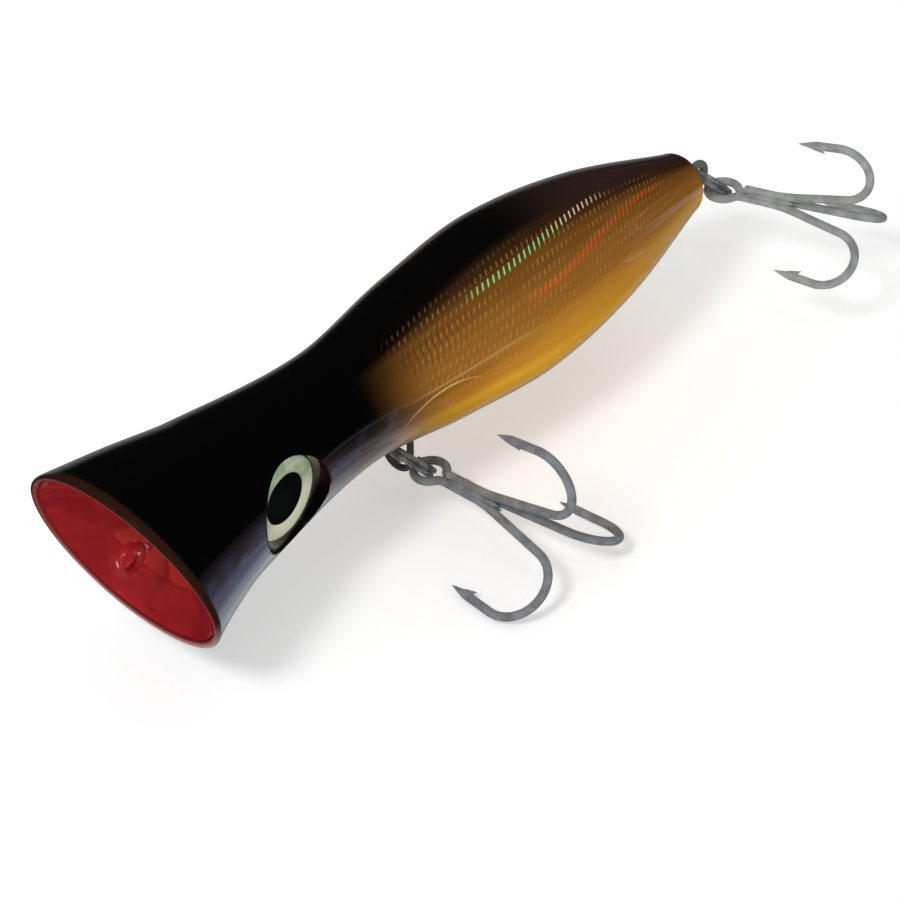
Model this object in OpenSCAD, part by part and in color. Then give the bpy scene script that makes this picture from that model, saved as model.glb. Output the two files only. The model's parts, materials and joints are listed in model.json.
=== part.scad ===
// Topwater popper: a hollow two-shell lure body on a through wire, with two treble hooks.
// Frame: X runs from the mouth to the tail, Y to the fish's right, Z up to the back.
// The origin is the centre of the tow eye.

/* [Body] */
// Distance from the middle of the mouth rim to the start of the rounded tail end
axis_len = 146; // [144:0.1:148]
// How far the middle of the mouth rim stands ahead of the tow eye
rim_ahead = 1.6; // [1:0.1:2.5]
// Outside diameter of the mouth rim
mouth_d = 40.8; // [40:0.1:42]
// Lean of the mouth plane, with the upper lip ahead of the lower one (degrees)
mouth_lean = 18.5; // [16:0.5:20]
// Height of the body at its waist, behind the eyes
waist_d = 22.8; // [22:0.1:24]
// Height of the body at its fullest
belly_d = 33.4; // [32:0.1:35]
// Height of the tail just before it rounds off
tail_d = 13; // [12:0.1:14]
// Length of the rounded tail end
tail_cap = 3.5; // [3:0.1:4]
// Width of the rear half as a share of its height
rear_width = 0.91; // [0.88:0.01:1]
// Rise of the centre line from a straight tow line
arch_rise = 5.1; // [4.8:0.1:5.4]
// Drop of the tail end below the tow eye
tail_drop = 3.7; // [3.4:0.1:4]
// Wall thickness of the shells
wall = 1.4; // [1.2:0.1:1.6]

/* [Mouth cup] */
// Depth of the cup below the mouth plane
cup_depth = 8.5; // [7.5:0.1:9.5]
// Thickness of the cup's sheet
cup_sheet = 1.3; // [1:0.1:1.5]
// Diameter of the hub around the tow wire
hub_d = 7; // [6:0.1:8]

/* [Eyes] */
// Radius of the printed eye disc
eye_r = 7.7; // [7.4:0.1:7.8]
// Depth of the eye disc's back below the middle of the socket's opening
socket_depth = 4.2; // [3.8:0.1:4.4]
// Thickness of the wall around the socket
socket_wall = 0.9; // [0.8:0.1:1.1]
// Turn of the eyes toward the tail (degrees)
eye_turn = 5; // [3:0.5:7]

/* [Wire] */
// Diameter of the through wire
wire_d = 1.6; // [1.4:0.1:1.6]
// Radius of the tow and tail eyes, to the middle of the wire
eyelet_r = 2.4; // [2.4:0.05:2.5]
// Diameter of the belly link's wire
link_d = 1.3; // [1.2:0.05:1.4]
// Radius of the belly link's ring, to the middle of the wire
link_r = 2.9; // [2.85:0.05:3]

/* [Split rings] */
// Radius of a split ring, to the middle of its wire
ring_r = 3.9; // [3.8:0.05:4]
// Diameter of a split ring's wire
ring_wire = 1; // [0.9:0.05:1]

/* [Treble hooks] */
// Size of the tail treble as a share of the belly treble
tail_treble_size = 0.85; // [0.8:0.01:0.9]
// Diameter of the hook wire
hook_wire = 1.6; // [1.4:0.1:1.6]
// Distance from the middle of the hook eye to the middle of the bends
shank_len = 27.4; // [26:0.1:29]
// Radius of the bends
bend_r = 6.6; // [6.3:0.1:6.9]
// Distance of a bend's middle from the treble's axis
spread = 10.7; // [10.2:0.1:11]
// Length of the straight part that carries the point
point_len = 9.4; // [8.5:0.1:10]
// Lean of the point toward the shank (degrees)
point_lean = 6; // [4:0.5:8]
// Slope of the wire where it flares into the bend (degrees)
flare = 12; // [10:0.5:13]
// Radius of the hook's eye, to the middle of the wire
hook_eye_r = 2.95; // [2.85:0.05:3.0]

/* [Inside] */
// Diameter of the rattle ball
rattle_d = 7; // [6.6:0.1:7.2]
// Length of the rattle tube, outside
rattle_len = 26; // [24:0.5:26]

/* [Hidden] */
$fn = 64;

// Body outline: share of the axis length, then half the body's height there
outline = [
    [0, mouth_d / 2],
    [0.062, 17.6],
    [0.144, 14.8],
    [0.35, waist_d / 2],
    [0.516, 14.8],
    [0.66, belly_d / 2],
    [0.825, 13.7],
    [1, tail_d / 2]
];
outline_end = len(outline) - 1;
flare_out = 1.25;     // how much steeper the skin runs at the lip than the next chord
lean_fade = 17;       // length over which the mouth's lean dies out
width_from = 0.31;    // share of the length where the body starts to narrow sideways
width_to = 0.62;      // and where it has reached its rear width
steps_long = 38;      // skin rings along the body
steps_cap = 5;        // skin rings round the tail end
steps_round = 16;     // skin segments from belly to back
play = 0.05;          // gap between fitted parts

// Through wire and belly link
tail_eye = [150.6, 0, -5];
wire_slope = atan2(-tail_eye[2], tail_eye[0]);
wire_bore_len = 154;  // longer than the body, from just behind the tow eye
link_at = [65.7, 0, -19.2];
link_rise = -link_at[0] * tan(wire_slope) - link_at[2] + wire_d / 2 + play - link_r + link_d / 2;

// Eye sockets and eyes
socket_floor = 1.4;   // thickness of the boss behind the disc
eye_at = [26.2, -13.9, 1.9];
disc_t = 0.8;         // thickness of the printed disc
lens_rise = 1;        // height of the lens's dome
lens_edge = 0.3;      // thickness of the lens at its rim
lens_gap = 0.02;      // gap between the disc and the lens
lens_steps = 10;

// Inside parts
rib_t = 2.4;
ribs = [52, 78, 106.6, 132];
rib_play = 0.1;             // gap between a rib and the foil
pin_d = 1.8;
pin_reach = 1.8;            // how far a locating pin stands out of the parting plane
pin_hole = 2.2;             // depth of its hole
pin_low = 0.72;             // place of the pins, as a share of the half height
rattle_z = 6.5;
rattle_wall = 0.7;
rattle_play = 0.08;         // gap round the rattle ball
rattle_x = ribs[1] + rib_t / 2 + play;
rattle_bore = rattle_d + 2 * rattle_play;
cap_t = 1.2;
weight_d = 6.4;
weight_z = -10.1;
tail_weight_d = 10;
tail_weight_len = 15;
tail_weight_gap = 0.5;      // gap between the tail weight and the last rib

// Foil inserts
foil_t = 0.25;
foil_set = wall + 0.3;      // how far the foil lies under the outer skin
foil_from = 84;
foil_long = 50;
foil_half = 34;             // half height of the foil, as an angle on the flank
foil_drop = -4;             // angle of the foil's middle line on the flank
foil_steps = 16;
foil_rows = 8;

// Split rings and trebles. Both rings share one lean, and hang their hooks to the left.
ring_lean = 38.9;     // tilt of the rings' plane from level, front edge up
ring_swing = 4.3;     // turn of the rings' own cross line
ring_start = 60;      // where a ring's wire starts, as an angle
ring_turn = 690;      // how far its coil runs from there
belly_ring_at = link_at + [-0.186, 0.1 - ring_r, 0.234];
belly_hook_eye = belly_ring_at + [0.193, -3.732, 0.334];
tail_ring_at = tail_eye + [2.63, -1.46, -2.58];
tail_hook_eye = tail_ring_at + [0.051, -3.059, 0.339];

// Hook proportions shared by the three points of a treble
hook_gap = 0.02;
hook_off = (hook_wire + hook_gap) / sqrt(3);
crook_r = 28;         // radius of the gentle bend where the shank starts to flare
tip_len = 3.4;
tip_r = 0.06;
barb_t = 0.5;
barb_rise = 0.75;
stub_at = 4.4;        // where the single hook's cut end starts behind the eye
eye_throat = 1.6;     // radius of the small bends that close the hook's eye
wire_sides = 12;      // sides of a bent wire's section
bend_steps = 14;
eye_steps = 18;
ring_steps = 48;

// ---------- body skin ----------

function slope_at(i) =
    i == 0
        ? flare_out * (outline[1][1] - outline[0][1]) / (outline[1][0] - outline[0][0])
        : let (a = outline[i - 1], b = outline[min(i + 1, outline_end)])
          (b[1] - a[1]) / (b[0] - a[0]);

function segment_of(u, i = 0) =
    i >= outline_end - 1 || u <= outline[i + 1][0] ? i : segment_of(u, i + 1);

// Smooth curve through the outline's stations
function half_height(s) =
    let (
        u = min(s / axis_len, 1),
        i = segment_of(u),
        a = outline[i],
        b = outline[i + 1],
        d = b[0] - a[0],
        t = (u - a[0]) / d
    )
    (2 * t * t * t - 3 * t * t + 1) * a[1]
    + (t * t * t - 2 * t * t + t) * d * slope_at(i)
    + (3 * t * t - 2 * t * t * t) * b[1]
    + (t * t * t - t * t) * d * slope_at(i + 1);

function centre_z(s) =
    let (u = s / axis_len)
    arch_rise * u - (arch_rise + tail_drop) * u * u;

function ease(t) =
    let (c = max(0, min(1, t)))
    c * c * (3 - 2 * c);

function width_share(s) =
    1 - (1 - rear_width) * ease((s / axis_len - width_from) / (width_to - width_from));

function lean_at(s) = s < lean_fade ? mouth_lean * pow(1 - s / lean_fade, 1.5) : 0;

// One skin ring: [distance along the body, its half height]
rings = concat(
    [for (k = [0 : steps_long])
        let (s = axis_len * pow(k / steps_long, 1.12))
        [s, half_height(s)]],
    [for (k = [1 : steps_cap])
        let (a = 84 * k / steps_cap)
        [axis_len + tail_cap * sin(a), tail_d / 2 * cos(a)]]
);
last_ring = len(rings) - 1;

// A point of the right half at ring k and angle a (-90 belly, 90 back), set in by inset
function skin_point(k, a, inset) =
    let (
        s = rings[k][0] * (1 - inset / (axis_len + tail_cap)),
        h = max(rings[k][1] - inset, 0.4),
        lean = lean_at(s)
    )
    [s - rim_ahead - sin(lean) * h * sin(a),
     h * cos(a) * width_share(s),
     centre_z(s) + cos(lean) * h * sin(a)];

function skin_angle(j) = -90 + 180 * j / steps_round;

function skin_points(inset) =
    [for (k = [0 : last_ring], j = [0 : steps_round])
        let (p = skin_point(k, skin_angle(j), inset))
        j == 0 || j == steps_round ? [p[0], 0, p[2]] : p];

row = steps_round + 1;
inner_start = row * (last_ring + 1);

function grid_faces(start, flip) =
    [for (k = [0 : last_ring - 1], j = [0 : steps_round - 1])
        let (
            a = start + k * row + j,
            face = [a, a + row, a + row + 1, a + 1]
        )
        flip ? [face[3], face[2], face[1], face[0]] : face];

// Right half of the hollow skin, open at the mouth
module skin_half() {
    n = inner_start;
    top = steps_round;
    tail = last_ring * row;
    faces = concat(
        grid_faces(0, false),
        grid_faces(n, true),
        [for (k = [0 : last_ring - 1])
            let (a = k * row)
            [n + a, n + a + row, a + row, a]],
        [for (k = [0 : last_ring - 1])
            let (a = k * row + top)
            [a, a + row, n + a + row, n + a]],
        [for (j = [0 : steps_round - 1])
            [j, j + 1, n + j + 1, n + j]],
        [[for (j = [steps_round : -1 : 0]) tail + j]],
        [[for (j = [0 : steps_round]) n + tail + j]],
        [[n + tail, n + tail + top, tail + top, tail]]
    );
    polyhedron(concat(skin_points(0), skin_points(wall)), faces);
}

// Right half of the body as a solid core, used to trim the ribs
module core_half(inset) {
    top = steps_round;
    tail = last_ring * row;
    faces = concat(
        grid_faces(0, false),
        [for (k = [0 : last_ring - 1])
            let (a = k * row)
            [a + top, a + row + top, a + row, a]],
        [[for (j = [0 : steps_round]) j]],
        [[for (j = [steps_round : -1 : 0]) tail + j]]
    );
    polyhedron(skin_points(inset), faces);
}

// Everything that the wire and the link pass through
module wire_bore() {
    rotate([0, 90 + wire_slope, 0])
        translate([0, 0, 4])
            cylinder(d = wire_d + 2 * play, h = wire_bore_len);
}

module link_slot() {
    depth = 30;
    long = 2 * link_r + link_d + 2 * play;
    translate([link_at[0] - link_d / 2 - play, -long / 2, link_at[2]])
        cube([link_d + 2 * play, long, depth]);
}

// Slit in the tail end for the wire's rear eye
module tail_slit() {
    translate(tail_eye)
        rotate([90, 0, 0])
            cylinder(r = eyelet_r + wire_d / 2 + play, h = wire_d + 2 * play, center = true);
}

// Rib across the body. The rear ribs are cut back at the flank to let the foil pass.
module rib(x) {
    h = half_height(x + rim_ahead);
    beside = (h - foil_set - foil_t) * rear_width * cos(foil_half + 8) - 4 * rib_play;
    difference() {
        translate([x - rib_t / 2, 0, -30])
            cube([rib_t, 30, 60]);
        if (x > foil_from)
            translate([x - rib_t, beside, centre_z(x + rim_ahead) - 0.8 * h])
                cube([2 * rib_t, 30, 1.4 * h]);
    }
}

// Right half: skin, ribs, eye socket. The side argument picks pins or pin holes.
module shell_half(has_pins) {
    difference() {
        union() {
            skin_half();
            intersection() {
                core_half(wall / 2);
                union() {
                    for (x = ribs)
                        rib(x);
                    eye_place()
                        translate([0, 0, -socket_depth - socket_floor])
                            cylinder(r = eye_r + play + socket_wall, h = socket_depth + socket_floor);
                }
            }
            if (has_pins)
                for (x = ribs)
                    pin_place(x)
                        translate([0, 0, -pin_reach])
                            cylinder(d = pin_d, h = 2 * pin_reach);
        }
        eye_place()
            translate([0, 0, -socket_depth])
                cylinder(r = eye_r + play, h = 20);
        wire_bore();
        tail_slit();
        link_slot();
        if (!has_pins)
            for (x = ribs)
                pin_place(x)
                    translate([0, 0, -pin_hole])
                        cylinder(d = pin_d + 2 * play, h = 2 * pin_hole);
    }
}

// Locating pins cross the parting plane, one on each rib
module pin_place(x) {
    translate([x, 0, centre_z(x + rim_ahead) - pin_low * half_height(x + rim_ahead)])
        rotate([90, 0, 0])
            children();
}

// Puts a part on the right eye's axis, with +Z outward from the middle of the socket's opening
module eye_place() {
    translate([eye_at[0], -eye_at[1], eye_at[2]])
        rotate([-90, 0, -eye_turn])
            children();
}

module to_left() {
    mirror([0, 1, 0])
        children();
}

module shell_right() {
    color([0.1, 0.08, 0.06])
        shell_half(false);
}

module shell_left() {
    color([0.1, 0.08, 0.06])
        to_left()
            shell_half(true);
}

// ---------- mouth cup ----------

cup_r = mouth_d / 2 - wall - 0.3;

module mouth_cup() {
    front = [for (t = [0 : 0.1 : 1]) [cup_r * (1 - t), 0.3 + cup_depth * (1 - pow(1 - t, 2.2))]];
    back = [for (t = [1 : -0.1 : 0.1])
        [max(cup_r * (1 - t) - 1.1, 0), 0.3 + cup_sheet * 1.2 + cup_depth * (1 - pow(1 - t, 2.2))]];
    color([0.65, 0.06, 0.09])
        difference() {
            translate([-rim_ahead, 0, 0])
                rotate([0, 90 - mouth_lean, 0])
                    union() {
                        rotate_extrude()
                            polygon(concat(front, back));
                        translate([0, 0, cup_depth - 1.2])
                            cylinder(d = hub_d, h = 3.4);
                    }
            rotate([0, 90 + wire_slope, 0])
                cylinder(d = wire_d + 2 * play, h = 30);
        }
}

// ---------- wires ----------

// Straight wire along +X from x0 to x1
module rod(x0, x1, d) {
    translate([x0, 0, 0])
        rotate([0, 90, 0])
            cylinder(d = d, h = x1 - x0);
}

// Closed ring of wire in the XZ plane
module eyelet() {
    rotate([90, 0, 0])
        rotate_extrude()
            translate([eyelet_r, 0])
                circle(d = wire_d);
}

module through_wire() {
    length = norm(tail_eye);
    color([0.62, 0.63, 0.65])
        union() {
            eyelet();
            rotate([0, wire_slope, 0])
                rod(eyelet_r, length - eyelet_r, wire_d);
            translate(tail_eye)
                eyelet();
        }
}

function unit(v) = v / norm(v);

// Bent wire: each station is [place, direction, radius]. The across vector is never along the wire.
module bent_wire(stations, across, closed = false) {
    count = len(stations);
    n = wire_sides;
    points = [for (st = stations)
        let (
            u = unit(cross(across, st[1])),
            v = cross(unit(st[1]), u)
        )
        for (k = [0 : n - 1])
            let (a = 360 * k / n)
            st[0] + st[2] * (cos(a) * u + sin(a) * v)];
    sides = [for (i = [0 : count - (closed ? 1 : 2)], k = [0 : n - 1])
        let (
            next = (i + 1) % count,
            turn = (k + 1) % n,
            a = i * n + k,
            b = i * n + turn,
            c = next * n + turn,
            d = next * n + k
        )
        for (face = [[a, c, b], [a, d, c]])
            face];
    ends = closed ? [] : [
        [for (k = [0 : n - 1]) k],
        [for (k = [n - 1 : -1 : 0]) (count - 1) * n + k]
    ];
    polyhedron(points, concat(sides, ends));
}

// Oval wire link in the YZ plane: it hangs over the through wire and ends below the belly
module belly_link() {
    stations = [for (end = [0, 1], a = [0 : 15 : 180])
        let (at = a + 180 * end)
        [[0, link_r * cos(at + 180), link_r * sin(at + 180) + link_rise * end],
         [0, -sin(at + 180), cos(at + 180)],
         link_d / 2]];
    color([0.4, 0.4, 0.42])
        translate(link_at)
            bent_wire(stations, [1, 0, 0], true);
}

// ---------- split rings ----------

// Flat coil of spring wire, a little under two turns
module split_ring() {
    pitch = ring_wire + 0.02;
    stations = [for (t = [0 : ring_steps])
        let (
            a = ring_turn * t / ring_steps,
            at = ring_start + a,
            rise = pitch / 360
        )
        [[ring_r * cos(at), ring_r * sin(at), rise * (a - ring_turn / 2)],
         [-sin(at), cos(at), rise * 180 / (PI * ring_r)],
         ring_wire / 2]];
    bent_wire(stations, [0, 0, 1]);
}

// Puts a ring with its plane leaning back, and its far point toward the fish's left
module ring_place(at) {
    translate(at)
        rotate([0, 90 - ring_lean, 0])
            rotate([ring_swing, 0, 0])
                children();
}

module belly_split_ring() {
    color([0.72, 0.72, 0.74])
        ring_place(belly_ring_at)
            split_ring();
}

module tail_split_ring() {
    color([0.72, 0.72, 0.74])
        ring_place(tail_ring_at)
            split_ring();
}

// ---------- treble hooks ----------

// One hook from its shank to its point, in a plane through the X axis turned by the angle spoke.
// X runs along the shank from the middle of the eye.
function hook_stations(size, spoke) =
    let (
        len_s = shank_len * size,
        r = bend_r * size,
        out = spread * size,
        reach = point_len * size,
        meet = [len_s + r * sin(flare), out - r * cos(flare)],
        crook_rise = crook_r * (1 - cos(flare)),
        knee = meet[0] - (meet[1] - hook_off - crook_rise) / tan(flare) - crook_r * sin(flare),
        tip_at = [len_s - r * sin(point_lean), out + r * cos(point_lean)],
        last = 180 + point_lean,
        w = hook_wire / 2,
        flat = concat(
            [for (a = [0 : flare / 3 : flare])
                [knee + crook_r * sin(a), hook_off + crook_r * (1 - cos(a)), a, w]],
            [for (t = [0 : bend_steps])
                let (a = flare + (last - flare) * t / bend_steps)
                [len_s + r * sin(a), out - r * cos(a), a, w]],
            [[tip_at[0] + (reach - tip_len) * cos(last), tip_at[1] + (reach - tip_len) * sin(last), last, w],
             [tip_at[0] + reach * cos(last), tip_at[1] + reach * sin(last), last, tip_r]]
        )
    )
    [for (f = flat)
        [[f[0], f[1] * cos(spoke), f[1] * sin(spoke)],
         [cos(f[2]), sin(f[2]) * cos(spoke), sin(f[2]) * sin(spoke)],
         f[3]]];

function backward(stations) =
    [for (i = [len(stations) - 1 : -1 : 0])
        [stations[i][0], -stations[i][1], stations[i][2]]];

// Small sharp barb inside the point
module barb(size) {
    r = bend_r * size;
    root = point_len * size - tip_len;
    translate([shank_len * size - r * sin(point_lean), spread * size + r * cos(point_lean), 0])
        rotate([0, 0, 180 + point_lean])
            translate([0, 0, -barb_t / 2])
                linear_extrude(barb_t)
                    polygon([
                        [root + tip_len * 0.45, 0.2],
                        [root - tip_len * 0.25, 0.2],
                        [root - tip_len * 0.5, hook_wire / 2 + barb_rise]
                    ]);
}

// Two hooks bent from one wire, with the eye between them
module treble_double(size) {
    side = hook_off * sin(60);
    level = -hook_off * cos(60);
    rise = sqrt(pow(hook_eye_r + eye_throat, 2) - pow(side + eye_throat, 2));
    meet = atan2(side + eye_throat, rise);
    throat = [for (a = [270 : -(90 - meet) / 3 : 180 + meet])
        [[rise + eye_throat * cos(a), level, side + eye_throat + eye_throat * sin(a)],
         [sin(a), 0, -cos(a)],
         hook_wire / 2]];
    loop = [for (t = [1 : eye_steps - 1])
        let (a = meet + (360 - 2 * meet) * t / eye_steps)
        [[hook_eye_r * cos(a), level, hook_eye_r * sin(a)],
         [-sin(a), 0, cos(a)],
         hook_wire / 2]];
    mirrored = [for (st = backward(throat))
        [[st[0][0], level, -st[0][2]],
         [-st[1][0], 0, st[1][2]] * -1,
         st[2]]];
    union() {
        bent_wire(
            concat(backward(hook_stations(size, 120)), throat, loop, mirrored, hook_stations(size, 240)),
            [0, 1, 0]
        );
        for (spoke = [120, 240])
            rotate([spoke, 0, 0])
                barb(size);
    }
}

// Third hook, with its cut end just behind the eye
module treble_single(size) {
    stub = [[stub_at, hook_off, 0], [1, 0, 0], hook_wire / 2];
    union() {
        bent_wire(concat([stub], hook_stations(size, 0)), [0, 0, 1]);
        barb(size);
    }
}

// Belly treble: shank out to the fish's left, single hook up
module belly_treble_place() {
    translate(belly_hook_eye)
        rotate([0, 0, -91.7])
            rotate([0, -3.2, 0])
                rotate([92, 0, 0])
                    children();
}

// Tail treble: shank out to the left and a little back, single hook up
module tail_treble_place() {
    translate(tail_hook_eye)
        rotate([0, 0, -73.8])
            rotate([0, -1.7, 0])
                rotate([90, 0, 0])
                    children();
}

module belly_treble_double() {
    color([0.5, 0.51, 0.52])
        belly_treble_place()
            treble_double(1);
}

module belly_treble_single() {
    color([0.5, 0.51, 0.52])
        belly_treble_place()
            treble_single(1);
}

module tail_treble_double() {
    color([0.6, 0.61, 0.62])
        tail_treble_place()
            treble_double(tail_treble_size);
}

module tail_treble_single() {
    color([0.6, 0.61, 0.62])
        tail_treble_place()
            treble_single(tail_treble_size);
}

// ---------- eyes ----------

module eye_disc() {
    translate([0, 0, -socket_depth])
        cylinder(r = eye_r, h = disc_t);
}

module eye_lens() {
    dome_r = (eye_r * eye_r + lens_rise * lens_rise) / (2 * lens_rise);
    half_angle = asin(eye_r / dome_r);
    crown = [for (k = [0 : lens_steps])
        let (a = half_angle * k / lens_steps)
        [dome_r * sin(a), lens_rise - dome_r * (1 - cos(a))]];
    translate([0, 0, -socket_depth + disc_t + lens_edge])
        rotate_extrude()
            polygon(concat([[0, lens_gap - lens_edge]], crown, [[eye_r, lens_gap - lens_edge]]));
}

module eye_disc_right() {
    color([0.75, 0.78, 0.7])
        eye_place()
            eye_disc();
}

module eye_disc_left() {
    color([0.75, 0.78, 0.7])
        to_left()
            eye_place()
                eye_disc();
}

module eye_lens_right() {
    color([0.9, 0.95, 1, 0.3])
        eye_place()
            eye_lens();
}

module eye_lens_left() {
    color([0.9, 0.95, 1, 0.3])
        to_left()
            eye_place()
                eye_lens();
}

// ---------- foil inserts ----------

// Half height of the foil as an angle on the flank: a pointed leaf
function foil_half_angle(t) = foil_half * pow(sin(180 * (0.06 + 0.88 * t)), 0.7);

function flank_point(s, a, inset) =
    let (
        h = half_height(s) - inset,
        x = s * (1 - inset / (axis_len + tail_cap))
    )
    [x - rim_ahead, h * cos(a) * width_share(x), centre_z(x) + h * sin(a)];

module foil() {
    grid = [for (layer = [0, 1], i = [0 : foil_steps], j = [0 : foil_rows])
        let (
            t = i / foil_steps,
            s = foil_from + foil_long * t,
            a = foil_drop + foil_half_angle(t) * (2 * j / foil_rows - 1)
        )
        flank_point(s, a, foil_set + foil_t * layer)];
    w = foil_rows + 1;
    n = w * (foil_steps + 1);
    end = foil_steps * w;
    faces = concat(
        [for (i = [0 : foil_steps - 1], j = [0 : foil_rows - 1])
            let (a = i * w + j)
            [a, a + w, a + w + 1, a + 1]],
        [for (i = [0 : foil_steps - 1], j = [0 : foil_rows - 1])
            let (a = n + i * w + j)
            [a + 1, a + w + 1, a + w, a]],
        [for (i = [0 : foil_steps - 1])
            let (a = i * w)
            [n + a, n + a + w, a + w, a]],
        [for (i = [0 : foil_steps - 1])
            let (a = i * w + foil_rows)
            [a, a + w, n + a + w, n + a]],
        [for (j = [0 : foil_rows - 1])
            [j, j + 1, n + j + 1, n + j]],
        [for (j = [0 : foil_rows - 1])
            [n + end + j, n + end + j + 1, end + j + 1, end + j]]
    );
    polyhedron(grid, faces);
}

module foil_right() {
    color([0.75, 0.55, 0.15])
        foil();
}

module foil_left() {
    color([0.75, 0.55, 0.15])
        to_left()
            foil();
}

// ---------- rattle and weights ----------

// Cup-shaped tube, open at its front end
module rattle_tube() {
    color([0.85, 0.85, 0.8, 0.5])
        translate([rattle_x + cap_t, 0, rattle_z])
            rotate([0, 90, 0])
                difference() {
                    cylinder(d = rattle_bore + 2 * rattle_wall, h = rattle_len - cap_t);
                    translate([0, 0, -1])
                        cylinder(d = rattle_bore, h = rattle_len - 2 * cap_t + 1);
                }
}

module rattle_cap() {
    color([0.8, 0.8, 0.75])
        translate([rattle_x, 0, rattle_z])
            rotate([0, 90, 0])
                cylinder(d = rattle_bore + 2 * rattle_wall, h = cap_t - 0.02);
}

module rattle_ball() {
    color([0.7, 0.7, 0.72])
        translate([rattle_x + cap_t + rattle_d / 2 + 0.1, 0, rattle_z])
            sphere(d = rattle_d);
}

// Steel slug between two ribs, low in the fullest part of the belly
module belly_weight() {
    color([0.45, 0.45, 0.47])
        translate([ribs[1] + rib_t / 2 + play, 0, weight_z])
            rotate([0, 90, 0])
                cylinder(d = weight_d, h = ribs[2] - ribs[1] - rib_t - 2 * play);
}

// Bored weight threaded on the through wire ahead of the last rib
module tail_weight() {
    color([0.45, 0.45, 0.47])
        rotate([0, wire_slope, 0])
            translate([ribs[3] - rib_t / 2 - tail_weight_gap - tail_weight_len, 0, 0])
                rotate([0, 90, 0])
                    difference() {
                        cylinder(d = tail_weight_d, h = tail_weight_len);
                        translate([0, 0, -1])
                            cylinder(d = wire_d + 2 * play, h = tail_weight_len + 2);
                    }
}

shell_left();
shell_right();
mouth_cup();
through_wire();
belly_link();
foil_left();
foil_right();
eye_disc_left();
eye_disc_right();
eye_lens_left();
eye_lens_right();
rattle_tube();
rattle_cap();
rattle_ball();
belly_weight();
tail_weight();
belly_split_ring();
belly_treble_double();
belly_treble_single();
tail_split_ring();
tail_treble_double();
tail_treble_single();
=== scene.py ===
import json
import math

import bpy
import numpy as np
from mathutils import Matrix, Vector


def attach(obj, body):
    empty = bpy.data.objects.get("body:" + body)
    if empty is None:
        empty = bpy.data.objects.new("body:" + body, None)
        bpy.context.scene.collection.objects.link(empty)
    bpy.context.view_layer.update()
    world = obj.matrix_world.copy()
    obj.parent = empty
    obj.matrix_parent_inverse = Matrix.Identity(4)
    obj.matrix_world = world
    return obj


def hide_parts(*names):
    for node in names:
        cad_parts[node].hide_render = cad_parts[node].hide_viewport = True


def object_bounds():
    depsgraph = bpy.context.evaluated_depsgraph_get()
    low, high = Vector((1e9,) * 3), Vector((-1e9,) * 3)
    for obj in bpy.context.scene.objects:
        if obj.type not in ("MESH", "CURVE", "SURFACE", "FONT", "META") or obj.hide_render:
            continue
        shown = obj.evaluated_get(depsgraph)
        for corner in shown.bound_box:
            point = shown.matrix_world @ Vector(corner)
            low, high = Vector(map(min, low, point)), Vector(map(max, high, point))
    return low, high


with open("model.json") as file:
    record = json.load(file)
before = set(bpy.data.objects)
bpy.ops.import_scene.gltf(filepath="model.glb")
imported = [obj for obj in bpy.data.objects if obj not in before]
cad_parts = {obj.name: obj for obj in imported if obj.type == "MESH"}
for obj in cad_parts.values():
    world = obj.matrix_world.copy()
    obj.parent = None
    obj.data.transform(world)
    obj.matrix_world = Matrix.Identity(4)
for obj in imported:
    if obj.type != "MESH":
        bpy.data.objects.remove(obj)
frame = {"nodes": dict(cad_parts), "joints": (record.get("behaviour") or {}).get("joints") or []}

CAD_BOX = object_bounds()
MM = 0.001

# ---------------------------------------------------------------- sizes, in millimetres

AXIS_LEN = 146.0
RIM_AHEAD = 1.6
MOUTH_LEAN = 18.5
LEAN_FADE = 17.0
TAIL_CAP = 3.5
REAR_WIDTH = 0.91
ARCH_RISE = 5.1
TAIL_DROP = 3.7
WALL = 1.4
# share of the axis length, half height of the body there
OUTLINE = ((0, 20.4), (0.062, 17.6), (0.144, 14.8), (0.35, 11.4),
           (0.516, 14.8), (0.66, 16.7), (0.825, 13.7), (1, 6.5))
FLARE_OUT = 1.25

CUP_DEPTH = 8.5
CUP_SHEET = 1.3
CUP_SINK = 0.3
CUP_R = OUTLINE[0][1] - WALL - 0.3
HUB_R = 3.5
HUB_RISE = 1.7

EYE_R = 7.7
DISC_T = 0.8
LENS_EDGE = 0.3
LENS_RISE = 1.0
PUPIL_R = 4.75
SOCKET_DEPTH = 4.2
SOCKET_FLOOR = 1.4
SOCKET_WALL = 2.6
# the socket's wall flares outward by this much above the flare's start
SOCKET_FLARE = 1.7
FLARE_LOW = -3.6
FLARE_HIGH = 0.5
EYE_TURN = 5
EYE_AT = (26.2, -13.9, 1.9)

WIRE_R = 0.8
EYELET_R = 2.4
LINK_R = 2.9
LINK_WIRE_R = 0.65
RING_R = 3.9
RING_WIRE_R = 0.5
RING_START = 60
RING_TURN = 690
RING_LEAN = 38.9
RING_SWING = 4.3
# gap between fitted wires and their slots, and between wires that lie side by side
PLAY = 0.1
HAIR = 0.02

SHANK_LEN = 27.4
BEND_R = 6.6
SPREAD = 10.7
POINT_LEN = 9.4
POINT_LEAN = 6
FLARE = 12
CROOK_R = 28
TIP_LEN = 3.4
HOOK_WIRE_R = 0.8
HOOK_OFF = (2 * HOOK_WIRE_R + HAIR) / math.sqrt(3)
HOOK_EYE_R = 2.95
EYE_THROAT = 1.6
STUB_AT = 4.4
TAIL_TREBLE_SIZE = 0.85

FOIL_FROM = 84
FOIL_LONG = 50
FOIL_HALF = 34
FOIL_DROP = -4
FOIL_T = 0.25
FOIL_SET = WALL + 0.3
# spacing of the foil's pressed scales along the body
SCALE_PITCH = 1.36


def joint_place(name):
    for joint in frame["joints"]:
        if joint["name"] == name:
            return np.array(joint["pos_m"]) / MM


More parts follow.
